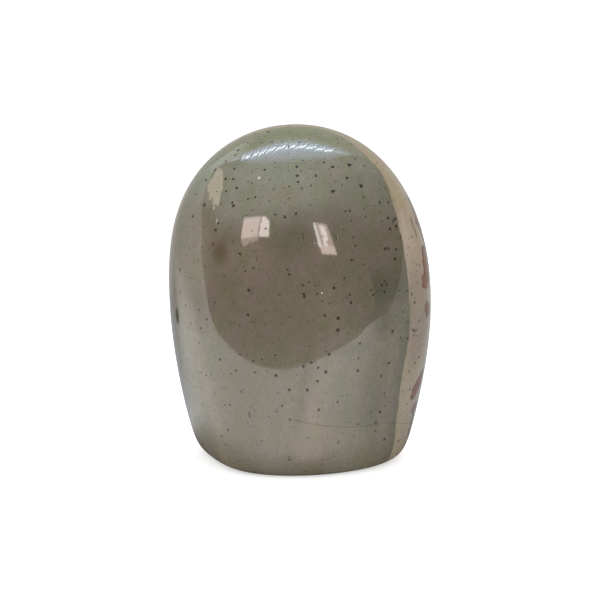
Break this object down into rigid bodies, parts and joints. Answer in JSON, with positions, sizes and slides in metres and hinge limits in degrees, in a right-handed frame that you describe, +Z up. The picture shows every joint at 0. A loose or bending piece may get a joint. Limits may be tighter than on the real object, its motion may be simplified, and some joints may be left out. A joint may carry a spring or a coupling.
{
  "type": "jasper freeform",
  "caption": "Polished freeform stone: an upright domed lump of banded green, cream and red-brown jasper with a sawn flat base to stand on",
  "frame": {"origin": "middle of the stone's outline seen from above, on the plane of its flat base", "axes": "+Z up, away from the base; the broad green face looks along -Y; +X to the right of someone facing it"},
  "size_m": [0.0856, 0.059, 0.11],
  "materials": {
    "jasper": "polished"
  },
  "bodies": {
    "root": {"jasper_stone": "jasper"}
  },
  "joints": []
}
